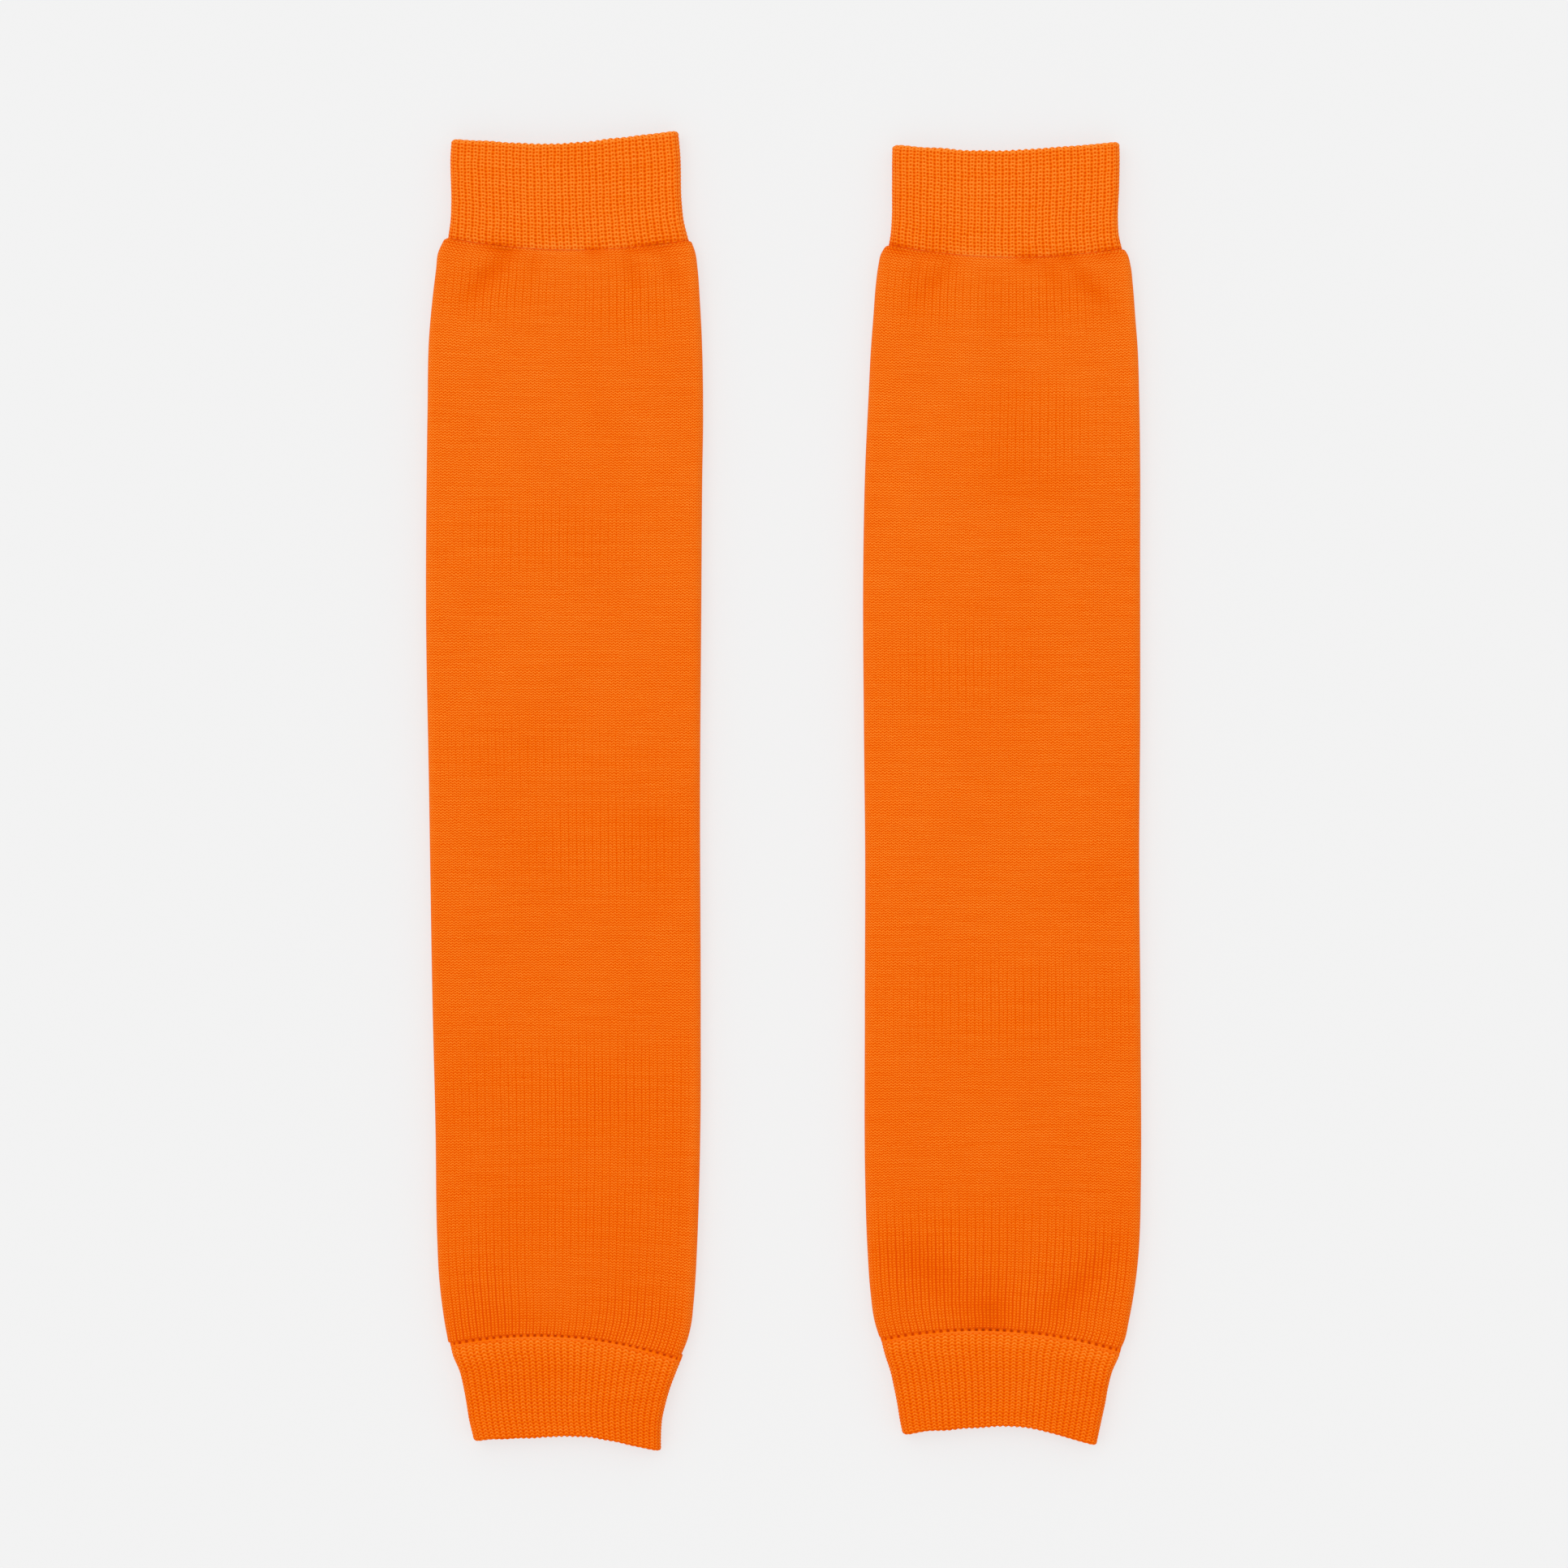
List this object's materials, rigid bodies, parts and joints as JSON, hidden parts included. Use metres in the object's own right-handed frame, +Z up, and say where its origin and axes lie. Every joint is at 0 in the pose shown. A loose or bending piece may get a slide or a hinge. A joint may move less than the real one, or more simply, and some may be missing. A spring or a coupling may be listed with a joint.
{
  "type": "knitted leg sleeves",
  "caption": "Pair of footless knitted leg sleeves for sport, open tubes of plain knit with a turned elastic rib cuff at each end, lying flat.",
  "frame": {"origin": "middle of the pair on the surface that it lies on", "axes": "+X to the right across both sleeves, +Y along the sleeves towards the upper cuffs, +Z up off the surface"},
  "size_m": [0.2328, 0.4298, 0.0084],
  "materials": {
    "orange_jersey": "plain knit, matt",
    "orange_rib": "one by one rib knit, matt",
    "orange_rib_lining": "one by one rib knit, matt",
    "joining_yarn": "one course of yarn loops",
    "elastic_yarn": "covered elastic yarn"
  },
  "bodies": {
    "left_sleeve": {"left_leg_tube": "orange_jersey", "left_upper_joining_course": "joining_yarn", "left_ankle_joining_course": "joining_yarn"},
    "left_upper_cuff": {"left_upper_cuff_outer": "orange_rib", "left_upper_cuff_inner": "orange_rib_lining", "left_upper_cuff_elastic": "elastic_yarn"},
    "left_ankle_cuff": {"left_ankle_cuff_outer": "orange_rib", "left_ankle_cuff_inner": "orange_rib_lining", "left_ankle_cuff_elastic": "elastic_yarn"},
    "right_sleeve": {"right_leg_tube": "orange_jersey", "right_upper_joining_course": "joining_yarn", "right_ankle_joining_course": "joining_yarn"},
    "right_upper_cuff": {"right_upper_cuff_outer": "orange_rib", "right_upper_cuff_inner": "orange_rib_lining", "right_upper_cuff_elastic": "elastic_yarn"},
    "right_ankle_cuff": {"right_ankle_cuff_outer": "orange_rib", "right_ankle_cuff_inner": "orange_rib_lining", "right_ankle_cuff_elastic": "elastic_yarn"}
  },
  "joints": [
    {"name": "left_upper_cuff_fold", "type": "hinge", "parent": "left_sleeve", "child": "left_upper_cuff", "pos_m": [-0.0714, 0.1796, 0.0081], "axis": [1, 0.0052, 0], "range_deg": [0, 178]},
    {"name": "left_ankle_cuff_fold", "type": "hinge", "parent": "left_sleeve", "child": "left_ankle_cuff", "pos_m": [-0.0714, -0.1836, 0.0081], "axis": [-0.9978, 0.0663, 0], "range_deg": [0, 178]},
    {"name": "right_upper_cuff_fold", "type": "hinge", "parent": "right_sleeve", "child": "right_upper_cuff", "pos_m": [0.0714, 0.1772, 0.0081], "axis": [0.9999, -0.0156, 0], "range_deg": [0, 178]},
    {"name": "right_ankle_cuff_fold", "type": "hinge", "parent": "right_sleeve", "child": "right_ankle_cuff", "pos_m": [0.0714, -0.1816, 0.0081], "axis": [-0.9988, 0.0491, 0], "range_deg": [0, 178]},
    {"name": "right_sleeve_lift", "type": "slide", "parent": "left_sleeve", "child": "right_sleeve", "axis": [0, 0, 1], "range_m": [0, 0.15]}
  ]
}
